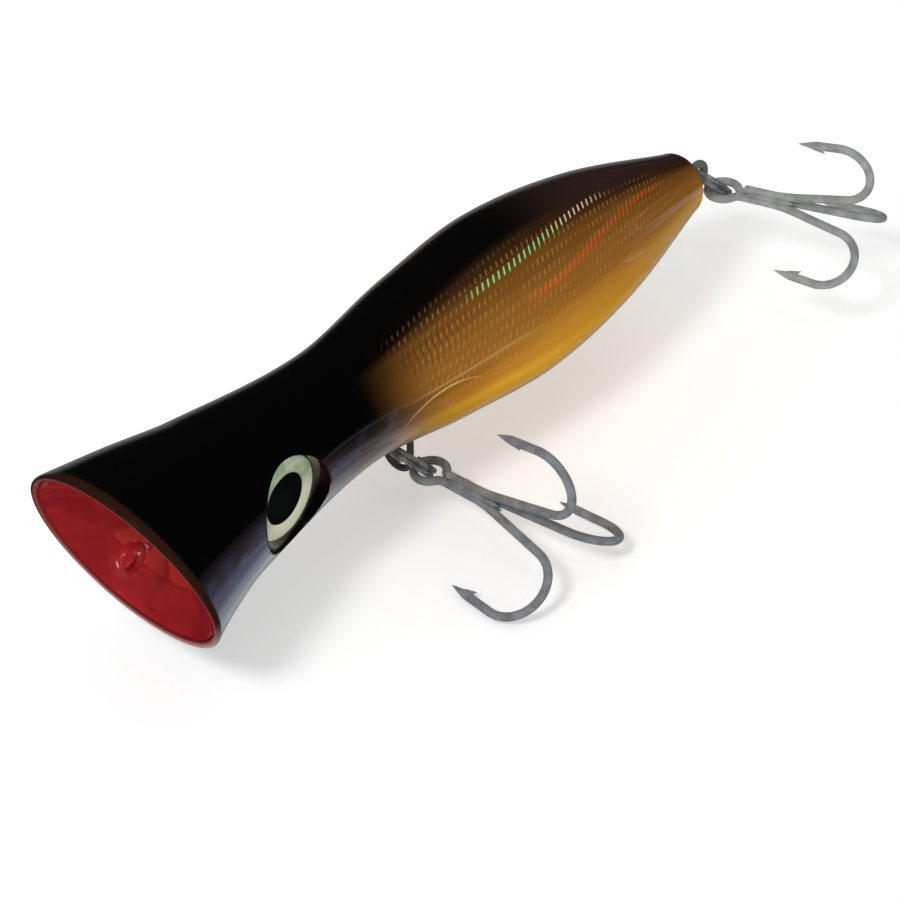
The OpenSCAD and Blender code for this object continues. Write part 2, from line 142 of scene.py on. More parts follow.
LINK_AT = joint_place("belly_ring_swing")
TAIL_EYE = joint_place("tail_ring_swing")
BELLY_RING_AT = LINK_AT + (-0.186, 0.1 - RING_R, 0.234)
TAIL_RING_AT = TAIL_EYE + (2.63, -1.46, -2.58)
BELLY_HOOK_EYE = BELLY_RING_AT + (0.193, -3.732, 0.334)
TAIL_HOOK_EYE = TAIL_RING_AT + (0.051, -3.059, 0.339)
WIRE_SLOPE = math.atan2(-TAIL_EYE[2], TAIL_EYE[0])


# ---------------------------------------------------------------- body skin


def half_height(s):
    """Half the body's height at distance s behind the mouth rim."""
    us = np.array([p[0] for p in OUTLINE])
    hs = np.array([p[1] for p in OUTLINE])
    slopes = np.empty(len(us))
    slopes[1:-1] = (hs[2:] - hs[:-2]) / (us[2:] - us[:-2])
    slopes[0] = FLARE_OUT * (hs[1] - hs[0]) / (us[1] - us[0])
    slopes[-1] = (hs[-1] - hs[-2]) / (us[-1] - us[-2])
    u = np.clip(np.asarray(s, float) / AXIS_LEN, 0, 1)
    i = np.clip(np.searchsorted(us, u) - 1, 0, len(us) - 2)
    d = us[i + 1] - us[i]
    t = (u - us[i]) / d
    return (
        (2 * t**3 - 3 * t * t + 1) * hs[i]
        + (t**3 - 2 * t * t + t) * d * slopes[i]
        + (3 * t * t - 2 * t**3) * hs[i + 1]
        + (t**3 - t * t) * d * slopes[i + 1]
    )


def centre_z(s):
    u = np.asarray(s, float) / AXIS_LEN
    return ARCH_RISE * u - (ARCH_RISE + TAIL_DROP) * u * u


def ease(t):
    t = np.clip(t, 0, 1)
    return t * t * (3 - 2 * t)


def width_share(s):
    return 1 - (1 - REAR_WIDTH) * ease((np.asarray(s, float) / AXIS_LEN - 0.31) / 0.31)


def lean_at(s):
    fade = np.clip(1 - np.asarray(s, float) / LEAN_FADE, 0, 1)
    return np.radians(MOUTH_LEAN) * fade**1.5


def skin_points(s, h, a, inset=0.0):
    """Points on the right half of the skin. a is the angle on the section, 90 at the back."""
    shrink = 1 - inset / (AXIS_LEN + TAIL_CAP)
    s, h, a = s * shrink, np.maximum(h - inset, 0.3), np.radians(a)
    lean = lean_at(s)
    return np.stack([
        s - RIM_AHEAD - np.sin(lean) * h * np.sin(a),
        h * np.cos(a) * width_share(s),
        centre_z(s) + np.cos(lean) * h * np.sin(a),
    ], -1)


def skin_address(points):
    """(distance along the body, angle on the section, share of the section's radius) of points."""
    s = points[:, 0] + RIM_AHEAD
    for _ in range(6):
        s = points[:, 0] + RIM_AHEAD + np.tan(lean_at(s)) * (points[:, 2] - centre_z(s))
    rise = (points[:, 2] - centre_z(s)) / np.cos(lean_at(s))
    side = np.abs(points[:, 1]) / width_share(s)
    cap = np.sqrt(np.clip(1 - (np.maximum(s - AXIS_LEN, 0) / TAIL_CAP) ** 2, 0.05, 1))
    share = np.hypot(rise, side) / (half_height(s) * cap)
    return s, np.degrees(np.arctan2(rise, side)), share


# ---------------------------------------------------------------- mesh tools


def new_object(name, points, faces):
    mesh = bpy.data.meshes.new(name)
    mesh.from_pydata([tuple(p) for p in np.asarray(points) * MM], [], faces)
    mesh.validate()
    mesh.update()
    made = bpy.data.objects.new(name, mesh)
    bpy.context.scene.collection.objects.link(made)
    return made


def smooth(made, sharp_over=32):
    """Smooth shading, with creases steeper than sharp_over degrees kept."""
    made.data.shade_smooth()
    made.data.set_sharp_from_angle(angle=math.radians(sharp_over))


def piece(made, body, node, material):
    """Gives a finished mesh its material, its body and the CAD node it stands for."""
    made.data.materials.clear()
    made.data.materials.append(material)
    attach(made, body)
    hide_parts(node)
    return made


def set_attribute(made, name, values):
    layer = made.data.attributes.new(name, "FLOAT", "POINT")
    layer.data.foreach_set("value", np.asarray(values, np.float32))


def points_of(made):
    flat = np.empty(len(made.data.vertices) * 3, np.float32)
    made.data.vertices.foreach_get("co", flat)
    return flat.reshape(-1, 3).astype(float) / MM


def move_points(made, points):
    made.data.vertices.foreach_set("co", (points * MM).astype(np.float32).ravel())
    made.data.update()


def grid_faces(rows, columns, start=0, flip=False, wrap=False):
    faces = []
    for i in range(rows - 1):
        for j in range(columns - (0 if wrap else 1)):
            a = start + i * columns + j
            b = start + i * columns + (j + 1) % columns
            face = (a, b, b + columns, a + columns)
            faces.append(face[::-1] if flip else face)
    return faces


def turn_about(axis, degrees):
    return np.array(Matrix.Rotation(math.radians(degrees), 3, axis))


def unit(v):
    return v / np.linalg.norm(v, axis=-1, keepdims=True)


def boolean(made, tool, operation):
    """Applies one boolean and removes the tool."""
    step = made.modifiers.new("cut", "BOOLEAN")
    step.operation = operation
    step.object = tool
    step.solver = "EXACT"
    bpy.context.view_layer.update()
    cut = made.evaluated_get(bpy.context.evaluated_depsgraph_get())
    result = bpy.data.meshes.new_from_object(cut)
    made.modifiers.clear()
    old = made.data
    made.data = result
    bpy.data.meshes.remove(old)
    bpy.data.objects.remove(tool)


def lathe(name, profile, steps=108):
    """Closed solid turned about Z. profile runs from the axis out and back to the axis."""
    around = np.radians(np.arange(steps) * 360 / steps)
    inner = [p for p in profile if p[0] > 1e-6]
    points = [(r * math.cos(t), r * math.sin(t), z) for r, z in inner for t in around]
    faces = grid_faces(len(inner), steps, flip=True, wrap=True)
    first, last = len(points), len(points) + 1
    points += [(0, 0, profile[0][1]), (0, 0, profile[-1][1])]
    end = (len(inner) - 1) * steps
    for j in range(steps):
        k = (j + 1) % steps
        faces.append((first, j, k))
        faces.append((last, end + k, end + j))
    return new_object(name, points, faces)


def tube(points, radii, sides=20, closed=False):
    """Round wire along points: (vertices, faces) with frames carried along without twist."""
    points = np.asarray(points, float)
    count = len(points)
    if closed:
        ahead = np.roll(points, -1, 0) - np.roll(points, 1, 0)
    else:
        ahead = np.gradient(points, axis=0)
    ahead = unit(ahead)
    across = np.cross(ahead[0], (0.31, 0.57, 0.76))
    frames = []
    for d in ahead:
        across = unit(across - d * np.dot(across, d))
        frames.append((across, np.cross(d, across)))
    twist = 0.0
    if closed:
        last = frames[-1][0] - ahead[0] * np.dot(frames[-1][0], ahead[0])
        twist = math.atan2(np.dot(last, frames[0][1]), np.dot(last, frames[0][0]))
    around = np.arange(sides) * 2 * math.pi / sides
    vertices = []
    for i, (u, v) in enumerate(frames):
        turn = around - twist * i / count
        ring = np.outer(np.cos(turn), u) + np.outer(np.sin(turn), v)
        vertices.append(points[i] + ring * radii[i])
    faces = grid_faces(count, sides, wrap=True)
    if closed:
        end = (count - 1) * sides
        faces += [(end + j, end + (j + 1) % sides, (j + 1) % sides, j) for j in range(sides)]
    else:
        faces.append(tuple(range(sides))[::-1])
        faces.append(tuple((count - 1) * sides + j for j in range(sides)))
    return np.concatenate(vertices), faces


def joined(name, parts):
    """One object from several (vertices, faces) sets."""
    points, faces, start = [], [], 0
    for vertices, some in parts:
        points.append(np.asarray(vertices))
        faces += [tuple(start + k for k in face) for face in some]
        start += len(vertices)
    return new_object(name, np.concatenate(points), faces)


# ---------------------------------------------------------------- shader tools


class Value:
    """A number or colour in a node tree, so that patterns can be written as sums."""

    def __init__(self, tree, socket):
        self.tree = tree
        self.socket = socket

    def math(self, operation, *others, clamp=False):
        node = self.tree.nodes.new("ShaderNodeMath")
        node.operation = operation
        node.use_clamp = clamp
        for place, value in enumerate((self, *others)):
            plug(self.tree, value, node.inputs[place])
        return Value(self.tree, node.outputs[0])

    def __add__(self, other):
        return self.math("ADD", other)

    def __sub__(self, other):
        return self.math("SUBTRACT", other)

    def __mul__(self, other):
        return self.math("MULTIPLY", other)

    def __truediv__(self, other):
        return self.math("DIVIDE", other)

    __radd__ = __add__
    __rmul__ = __mul__

    def __rsub__(self, other):
        return self.math("MULTIPLY", -1) + other

    def cap(self):
        return self.math("ADD", 0, clamp=True)

    def step(self, low, high):
        """0 below low and 1 above high, eased in between. high may be the lower one."""
        node = self.tree.nodes.new("ShaderNodeMapRange")
        node.interpolation_type = "SMOOTHSTEP"
        plug(self.tree, self, node.inputs["Value"])
        plug(self.tree, low, node.inputs["From Min"])
        plug(self.tree, high, node.inputs["From Max"])
        return Value(self.tree, node.outputs["Result"])

    def band(self, middle, half, soft):
        """1 within half of middle, easing to 0 over soft."""
        return (self - middle).math("ABSOLUTE").step(half + soft, half)

    def wave(self, period):
        """0 to 1 and back, once per period."""
        return (self * (2 * math.pi / period)).math("SINE") * 0.5 + 0.5


def plug(tree, value, place):
    if isinstance(value, Value):
        tree.links.new(value.socket, place)
    else:
        place.default_value = value


def colour(rgb):
    """Linear colour with alpha from an sRGB triple of 0 to 255."""
    linear = [(c / 255) / 12.92 if c <= 10 else ((c / 255 + 0.055) / 1.055) ** 2.4 for c in rgb]
    return (*linear, 1)


def mix(tree, share, low, high):
    """low where share is 0, high where it is 1. Both are colours."""
    node = tree.nodes.new("ShaderNodeMix")
    node.data_type = "RGBA"
    plug(tree, share, node.inputs["Factor"])
    plug(tree, low, node.inputs[6])
    plug(tree, high, node.inputs[7])
    return Value(tree, node.outputs[2])


def ramp(tree, value, low, high, stops):
    """Colour ramp over value from low to high. stops are (value, sRGB) pairs."""
    node = tree.nodes.new("ShaderNodeValToRGB")
    node.color_ramp.interpolation = "EASE"
    elements = node.color_ramp.elements
    while len(elements) < len(stops):
        elements.new(0.5)
    for element, (at, rgb) in zip(elements, stops):
        element.position = (at - low) / (high - low)
        element.color = colour(rgb)
    plug(tree, (value - low) / (high - low), node.inputs["Fac"])
    return Value(tree, node.outputs["Color"])


def attribute(tree, name):
    node = tree.nodes.new("ShaderNodeAttribute")
    node.attribute_name = name
    return Value(tree, node.outputs["Fac"])


def place_in(tree):
    """Object coordinates, which are the lure's own frame in metres."""
    node = tree.nodes.new("ShaderNodeTexCoord")
    return node.outputs["Object"]


def axis_of(tree, which):
    node = tree.nodes.new("ShaderNodeSeparateXYZ")
    tree.links.new(place_in(tree), node.inputs[0])
    return Value(tree, node.outputs[which]) * (1 / MM)


def noise(tree, size, detail=3.0, stretch=(1, 1, 1)):
    """Noise with features about size millimetres across, 0 to 1."""
    node = tree.nodes.new("ShaderNodeTexNoise")
    node.inputs["Scale"].default_value = 1 / (size * MM)
    node.inputs["Detail"].default_value = detail
    mapping = tree.nodes.new("ShaderNodeMapping")
    mapping.inputs["Scale"].default_value = stretch
    tree.links.new(place_in(tree), mapping.inputs["Vector"])
    tree.links.new(mapping.outputs[0], node.inputs["Vector"])
    return Value(tree, node.outputs["Fac"])


def bump(tree, height, depth, shader, coat=False):
    """Bump of the given depth in millimetres on a shader's normal."""
    node = tree.nodes.new("ShaderNodeBump")
    node.inputs["Distance"].default_value = depth * MM
    plug(tree, height, node.inputs["Height"])
    tree.links.new(node.outputs[0], shader.inputs["Normal"])
    if coat:
        tree.links.new(node.outputs[0], shader.inputs["Coat Normal"])


def new_material(name):
    made = bpy.data.materials.new(name)
    made.use_nodes = True
    shader = made.node_tree.nodes["Principled BSDF"]
    return made, made.node_tree, shader


def settings(tree, shader, **values):
    names = {"base": "Base Color", "rough": "Roughness", "metal": "Metallic", "coat": "Coat Weight",
             "coat_rough": "Coat Roughness", "clear": "Transmission Weight", "alpha": "Alpha",
             "ior": "IOR", "glow": "Emission Color", "glow_strength": "Emission Strength",
             "specular": "Specular IOR Level"}
    for key, value in values.items():
        plug(tree, value, shader.inputs[names[key]])


# ---------------------------------------------------------------- materials


def scale_rows(along, flank):
    """Marks of the foil's pressed scales: thin slanted ticks in rows along the flank."""
    slanted = along - flank * 0.16
    tick = slanted.wave(SCALE_PITCH).step(0.72, 0.95)
    row = flank + along * -0.12
    rows = row.wave(7.5).step(0.35, 0.75)
    return tick, rows


def skin_material():
    made, tree, shader = new_material("skin_paint")
    along = attribute(tree, "along")
    flank = attribute(tree, "flank")
    share = attribute(tree, "share")
    socket = attribute(tree, "socket")
    drift = (noise(tree, 14, 2) - 0.5) * 9
    # sprayed black head; its pale grey lower flank is a painted reflection of the white floor
    head = ramp(tree, flank, -40, 40, (
        (-40, (112, 112, 110)), (-27, (168, 168, 168)), (-17, (196, 198, 200)),
        (-8, (150, 154, 166)), (3, (88, 88, 108)), (13, (50, 44, 52)), (21, (26, 22, 24)),
        (25, (2, 2, 2)), (40, (1, 1, 1))))
    # further back the painted floor reflection is dimmer and browner
    dusk = along.step(28, 50) * 0.92
    head = mix(tree, dusk, head, ramp(tree, flank, -40, 40, (
        (-40, (120, 114, 106)), (-24, (158, 150, 140)), (-12, (106, 95, 90)), (0, (64, 54, 46)),
        (12, (32, 26, 22)), (20, (14, 10, 8)), (25, (2, 2, 2)), (40, (1, 1, 1)))))
    # bluish speckle in the painted floor reflection on the head
    reflection_speckle = noise(tree, 3.0, 3).step(0.45, 0.8) * 0.2
    head = mix(tree, reflection_speckle * flank.band(4, 8, 10), head, colour((96, 110, 150)))
    # amber flank and golden belly; the belly's bright gold is partly painted light shining through
    # the amber plastic
    amber = ramp(tree, flank, -60, 90, (
        (-50, (196, 146, 56)), (-30, (240, 178, 50)), (-15, (244, 178, 48)), (-4, (200, 132, 36)),
        (10, (160, 104, 34)), (32, (146, 94, 34)), (52, (118, 74, 24)), (68, (58, 33, 13)),
        (82, (20, 12, 6)), (90, (8, 5, 3))))
    tail_back = mix(tree, flank.step(84, 55), colour((56, 36, 30)), amber)
    amber = mix(tree, along.step(88, 124) * flank.step(58, 76), amber, tail_back)
    pale = along.step(112, 138) * flank.step(18, -4)
    amber = mix(tree, pale * 0.7, amber, colour((214, 182, 132)))
    warm = along.step(70, 102) * flank.band(-2, 8, 16)
    amber = mix(tree, warm * 0.35, amber, colour((236, 172, 48)))
    shade = (flank - along.step(52, 88) * 16).step(54, 66) * along.step(110, 90)
    amber = mix(tree, shade * 0.96, amber, colour((3, 2, 2)))
    # darker brown low on the front of the amber part
    front_low_darkening = along.step(82, 54) * flank.step(26, 6)
    amber = mix(tree, front_low_darkening * 0.62, amber, colour((92, 56, 20)))
    tick, rows = scale_rows(along, flank)
    window = along.step(56, 66) * along.step(140, 132) * flank.step(-8, 4) * flank.step(76, 64)
    texture = tick * rows * window * (noise(tree, 7, 3).step(0.3, 0.62) * 0.8 + 0.2)
    amber = mix(tree, texture * 0.35, amber, colour((214, 160, 84)))
    fine = (along - flank * 0.05).wave(SCALE_PITCH).step(0.5, 0.1)
    fine = fine * along.step(80, 64) * flank.step(26, 34)
    amber = mix(tree, fine * window * 0.4, amber, colour((52, 30, 10)))
    high_row = flank.math("SUBTRACT", along.step(84, 120) * 12 + 58).band(0, 1.8, 1.2)
    high = tick * high_row * along.step(76, 82) * along.step(120, 112)
    green = mix(tree, along.step(96, 112), colour((150, 235, 150)), colour((250, 214, 190)))
    amber = mix(tree, (high * 0.9).cap(), amber, green)
    low_row = flank.math("SUBTRACT", along.step(88, 134) * 22 + 33).band(0, 1.4, 2.2)
    low = (tick * 0.85 + 0.15) * low_row * along.step(86, 94) * along.step(138, 128)
    amber = mix(tree, (low * 0.66).cap(), amber, colour((232, 92, 40)))
    # moulded ridge round the hanger; its pale gold line is a painted glint
    ridge_and_glint = (((along - 67) / 14.5).math("POWER", 2) + ((flank + 40) / 50).math("POWER", 2))
    ridge_and_glint = ridge_and_glint.math("SQRT").band(1, 0.004, 0.02) * along.step(54, 60) * along.step(76, 66)
    amber = mix(tree, ridge_and_glint * 0.7, amber, colour((240, 205, 110)))
    line = flank.band(14, 0.5, 1.2) * along.step(56, 64) * along.step(92, 78)
    amber = mix(tree, line * 0.4, amber, colour((206, 170, 100)))
    # join of the two paints
    front = along + drift * 0.35
    paint = mix(tree, front.step(49, 68), head, amber)
    # clear lip round the mouth, black socket, amber inside
    lip = along.step(1.5, 0.9)
    lip_paint = mix(tree, flank.step(-4, -46), colour((46, 22, 14)), colour((200, 184, 190)))
    lip_paint = mix(tree, share.step(0.972, 0.955) * 0.75, lip_paint, colour((184, 88, 82)))
    paint = mix(tree, lip, paint, lip_paint)
    socket_paint = mix(tree, flank.step(10, -8), colour((34, 8, 10)), colour((2, 2, 2)))
    paint = mix(tree, socket, paint, socket_paint)
    inside = mix(tree, along.step(5, 9), colour((104, 26, 26)), colour((120, 76, 26)))
    paint = mix(tree, share.step(0.95, 0.93) * (1 - socket), paint, inside)
    settings(tree, shader, base=paint, rough=noise(tree, 6, 2) * 0.08 + 0.14, coat=1.0,
             coat_rough=0.025, specular=0.5, ior=1.49)
    height = noise(tree, 9, 1) * 0.7 + texture * 0.25 + ridge_and_glint * 0.6
    bump(tree, height, 0.12, shader)
    return made


def cup_material():
    made, tree, shader = new_material("cup_red")
    cloud = noise(tree, 7, 3)
    streak = noise(tree, 2.2, 4, (1, 0.35, 1))
    relief = attribute(tree, "relief")
    height = axis_of(tree, 2)
    paint = mix(tree, cloud.step(0.35, 0.7), colour((138, 12, 22)), colour((164, 24, 30)))
    # lighter towards the top of the cup: a painted reflection
    paint = mix(tree, height.step(2, 17) * 0.7, paint, colour((184, 46, 48)))
    # lighter orange on the raised plateaus: a painted highlight
    paint = mix(tree, relief.step(0.1, 0.9) * 0.3, paint, colour((192, 54, 36)))
    low_streak = streak.step(0.62, 0.75) * height.step(-8, -14) * 0.6
    paint = mix(tree, low_streak, paint, colour((84, 6, 14)))
    settings(tree, shader, base=paint, rough=cloud * 0.12 + 0.2, coat=1.0, coat_rough=0.05)
    bump(tree, cloud + streak * 0.4, 0.15, shader, coat=True)
    return made


def metal_material(name, dark, pale, rough, grain=0.35, depth=0.03, tint=None, metal=0.9):
    """Drawn wire: fine grain, cloudy plating and darker specks."""
    made, tree, shader = new_material(name)
    cloud = noise(tree, 2.5, 4)
    fine = noise(tree, grain, 3)
    specks = noise(tree, 0.9, 5).step(0.62, 0.72)
    paint = mix(tree, cloud.step(0.3, 0.7), colour(dark), colour(pale))
    paint = mix(tree, specks * 0.45, paint, colour([c * 0.6 for c in dark]))
    if tint:
        paint = mix(tree, noise(tree, 4, 2).step(0.5, 0.8) * 0.4, paint, colour(tint))
    settings(tree, shader, base=paint, metal=metal, rough=fine * 0.22 + rough)
    bump(tree, fine + cloud * 0.5, depth, shader)
    return made


def wire_material():
    """Stainless wire, painted red at the tow eye, with pinkish painted highlights on the red."""
    made, tree, shader = new_material("through_wire_metal")
    fine = noise(tree, 0.35, 3)
    cloud = noise(tree, 2.2, 4)
    red = axis_of(tree, 0).step(9, 7)
    highlight_spots = noise(tree, 1.1, 4).step(0.6, 0.66)
    steel = mix(tree, cloud, colour((120, 118, 116)), colour((176, 174, 172)))
    paint = mix(tree, cloud, colour((140, 14, 22)), colour((190, 40, 46)))
    # pinkish painted highlights on the red paint
    paint = mix(tree, highlight_spots * 0.8, paint, colour((238, 186, 190)))
    settings(tree, shader, base=mix(tree, red, steel, paint), metal=0.6 - red * 0.55,
             rough=fine * 0.2 + 0.22, coat=red)
    bump(tree, fine + highlight_spots, 0.04, shader)
    return made


def eye_material():
    """Pearl ring round a black pupil, with fine spokes and a green to cream drift."""
    made, tree, shader = new_material("eye_print")
    radius = attribute(tree, "radius")
    angle = attribute(tree, "angle")
    cloud = noise(tree, 1.6, 4)
    spokes = angle.wave(6) * 0.25 + noise(tree, 0.6, 4) * 0.5
    ring = mix(tree, cloud.step(0.35, 0.7), colour((160, 186, 150)), colour((214, 220, 190)))
    ring = mix(tree, angle.band(-70, 50, 40), ring, colour((255, 254, 226)))
    ring = mix(tree, spokes * 0.4, ring, colour((120, 140, 118)))
    pupil = radius.step(PUPIL_R + 0.12, PUPIL_R - 0.05)
    settings(tree, shader, base=mix(tree, pupil, ring, colour((3, 3, 4))),
             metal=0.15 - pupil * 0.15, rough=cloud * 0.2 + 0.25)
    bump(tree, spokes * (1 - pupil), 0.05, shader)
    return made


def lens_material():
    made, tree, shader = new_material("lens_resin")
    ripple = noise(tree, 5, 2)
    settings(tree, shader, base=colour((40, 46, 46)), rough=ripple * 0.03 + 0.01,
             alpha=ripple * 0.02 + 0.01, coat=1.0, coat_rough=0.01, specular=0.7)
    bump(tree, ripple, 0.05, shader)
    return made


def foil_material():
    made, tree, shader = new_material("foil_gold")
    along = attribute(tree, "along")
    flank = attribute(tree, "flank")
    tick, rows = scale_rows(along, flank)
    gold = mix(tree, flank.step(-30, 30), colour((236, 190, 92)), colour((196, 130, 52)))
    gold = mix(tree, tick * rows * along.step(96, 84), gold, colour((170, 232, 150)))
    gold = mix(tree, tick * rows * along.step(96, 120), gold, colour((232, 120, 70)))
    settings(tree, shader, base=gold, metal=0.9, rough=noise(tree, 1.5, 3) * 0.25 + 0.18)
    bump(tree, tick * rows + noise(tree, 0.7, 3) * 0.3, 0.1, shader)
    return made


def moulded_material(name, dark, pale, rough=0.3):
    """Plain moulded plastic with faint flow marks."""
    made, tree, shader = new_material(name)
    flow = noise(tree, 6, 4, (0.3, 1, 1))
    paint = mix(tree, flow.step(0.3, 0.7), colour(dark), colour(pale))
    settings(tree, shader, base=paint, rough=flow * 0.15 + rough, coat=0.4)
    bump(tree, noise(tree, 0.8, 3), 0.03, shader)
    return made


# ---------------------------------------------------------------- shells


def skin_rows():
    """Distances along the body and half heights for the skin's rings, the tail end included."""
    s = np.concatenate([
        (0.0, 0.12, 0.3, 0.6, 1.0, 1.5),
        np.linspace(2.2, AXIS_LEN, 210),
    ])
    h = half_height(s)
    turn = np.radians(np.linspace(6, 86, 16))
    return (
        np.concatenate([s, AXIS_LEN + TAIL_CAP * np.sin(turn)]),
        np.concatenate([h, OUTLINE[-1][1] * np.cos(turn)]),
    )


def shell_solid(name, side):
    """Closed half shell. side is 1 for the fish's right half and -1 for its left."""
    s, h = skin_rows()
    angles = np.linspace(-90, 90, 121)
    ss, aa = np.meshgrid(s, angles, indexing="ij")
    hh = np.repeat(h[:, None], len(angles), 1)
    rounding = 0.35 * np.exp(-ss / 0.25)
    seam = 0.07 * np.exp(-(90 - np.abs(aa)) / 0.8)
    outer = skin_points(ss.ravel(), hh.ravel(), aa.ravel(), (rounding + seam).ravel())
    wall = WALL - 0.3 * np.exp(-ss.ravel() / 0.25)
    inner = skin_points(ss.ravel(), hh.ravel(), aa.ravel(), wall)
    points = np.concatenate([outer, inner])
    on_seam = np.concatenate([np.abs(aa.ravel()) > 89.9] * 2)
    points[on_seam, 1] = 0.01
    points[:, 1] *= side
    rows, columns = len(s), len(angles)
    start = rows * columns
    faces = grid_faces(rows, columns) + grid_faces(rows, columns, start, flip=True)
    for i in range(rows - 1):
        a, b = i * columns, (i + 1) * columns
        faces.append((a, b, start + b, start + a))
        a, b = a + columns - 1, b + columns - 1
        faces.append((b, a, start + a, start + b))
    for j in range(columns - 1):
        faces.append((j + 1, j, start + j, start + j + 1))
    last = (rows - 1) * columns
    faces.append(tuple(last + j for j in range(columns)))
    faces.append(tuple(start + last + j for j in range(columns))[::-1])
    faces.append((last, last + columns - 1, start + last + columns - 1, start + last))
    if side < 0:
        faces = [face[::-1] for face in faces]
    return new_object(name, points, faces)


def core_solid(side):
    """Solid half body just inside the skin, used to trim the socket."""
    s, h = skin_rows()
    near = s < 60
    s, h = s[near], h[near]
    angles = np.linspace(-90, 90, 91)
    ss, aa = np.meshgrid(s, angles, indexing="ij")
    hh = np.repeat(h[:, None], len(angles), 1)
    points = skin_points(ss.ravel(), hh.ravel(), aa.ravel(), 0.4)
    points[np.abs(aa.ravel()) > 89.9, 1] = 0.3
    points[:, 1] *= side
    rows, columns = len(s), len(angles)
    last = (rows - 1) * columns
    faces = grid_faces(rows, columns)
    faces.append(tuple(i * columns for i in range(rows)) + tuple(
        i * columns + columns - 1 for i in reversed(range(rows))))
    faces.append(tuple(range(columns))[::-1])
    faces.append(tuple(last + j for j in range(columns)))
    if side < 0:
        faces = [face[::-1] for face in faces]
    return new_object("core", points, faces)


def eye_frame(side):
    """Rotation whose third column points out of the eye, and the middle of the socket's lip."""
    out = turn_about("Z", -EYE_TURN) @ turn_about("X", -90)
    mirror = np.diag([1, side, 1])
    return mirror @ out, np.array(EYE_AT) * (1, -side, 1)


def seat_at_eye(made, side, lift=0.0):
    turn, middle = eye_frame(side)
    move_points(made, (points_of(made) + (0, 0, lift)) @ turn.T + middle)
    if side < 0:
        made.data.flip_normals()


def socket_boss():
    r = EYE_R + SOCKET_WALL
    low = -SOCKET_DEPTH - SOCKET_FLOOR
    return lathe("boss", [(0, 0), (r, 0), (r, low), (0, low)])


def socket_bore():
    r = EYE_R + PLAY / 2
    wide = r + SOCKET_FLARE
    top = 9
    return lathe("bore", [
        (0, top), (wide, top), (wide, FLARE_HIGH),
        (r, FLARE_LOW), (r, -SOCKET_DEPTH), (0, -SOCKET_DEPTH),
    ])


def box_tool(low, high):
    x, y, z = zip(low, high)
    points = [(a, b, c) for a in x for b in y for c in z]
    faces = [(0, 1, 3, 2), (4, 6, 7, 5), (0, 4, 5, 1), (2, 3, 7, 6), (0, 2, 6, 4), (1, 5, 7, 3)]
    return new_object("box", points, faces)


def tail_slit_tool():
    r, half = EYELET_R + WIRE_R + PLAY, WIRE_R + PLAY / 2
    made = lathe("slit", [(0, half), (r, half), (r, -half), (0, -half)])
    move_points(made, points_of(made) @ turn_about("X", 90).T + TAIL_EYE)
    return made


def build_shell(side, material):
    name = "shell_right" if side > 0 else "shell_left"
    made = shell_solid(name + "_skin", side)
    boss = socket_boss()
    seat_at_eye(boss, side)
    boolean(boss, core_solid(side), "INTERSECT")
    boolean(made, boss, "UNION")
    bore = socket_bore()
    seat_at_eye(bore, side)
    boolean(made, bore, "DIFFERENCE")
    slot = LINK_WIRE_R + PLAY
    reach = LINK_R + slot
    box = box_tool(LINK_AT + (-slot, -reach, -1), LINK_AT + (slot, reach, 9))
    boolean(made, box, "DIFFERENCE")
    boolean(made, tail_slit_tool(), "DIFFERENCE")
    points = points_of(made)
    along, flank, share = skin_address(points)
    turn, middle = eye_frame(side)
    local = (points - middle) @ turn
    round_eye = np.hypot(local[:, 0], local[:, 1])
    up = np.clip((local[:, 2] - FLARE_LOW) / (FLARE_HIGH - FLARE_LOW), 0, 1)
    in_socket = round_eye < EYE_R + PLAY + SOCKET_FLARE * up
    in_socket &= (local[:, 2] > -SOCKET_DEPTH - PLAY) & (local[:, 2] < 6)
    set_attribute(made, "along", along)
    # the black of the back reaches lower on the right side
    if side > 0:
        flank = flank + 16 * ease((flank - 25) / 30)
    set_attribute(made, "flank", flank)
    set_attribute(made, "share", share)
    set_attribute(made, "socket", in_socket)
    smooth(made, 28)
    return piece(made, "body", name, material)


# ---------------------------------------------------------------- mouth cup


def cup_relief(r, t):
    """Height of the cup's moulded pattern at radius r and angle t: two plateaus and a ring."""
    plateau = ease((0.55 - np.abs(t - 0.55)) / 0.12)
    plateau = plateau * ease((r - 5.2) / 0.6) * ease((12.5 - r) / 1.2)
    second = ease((0.5 - np.abs(t - 3.6)) / 0.12)
    second = second * ease((r - 6) / 0.6) * ease((12 - r) / 1.2)
    ring = ease((r - 4.2) / 0.25) * ease((4.9 - r) / 0.25)
    return plateau + 0.8 * second + 0.4 * ring


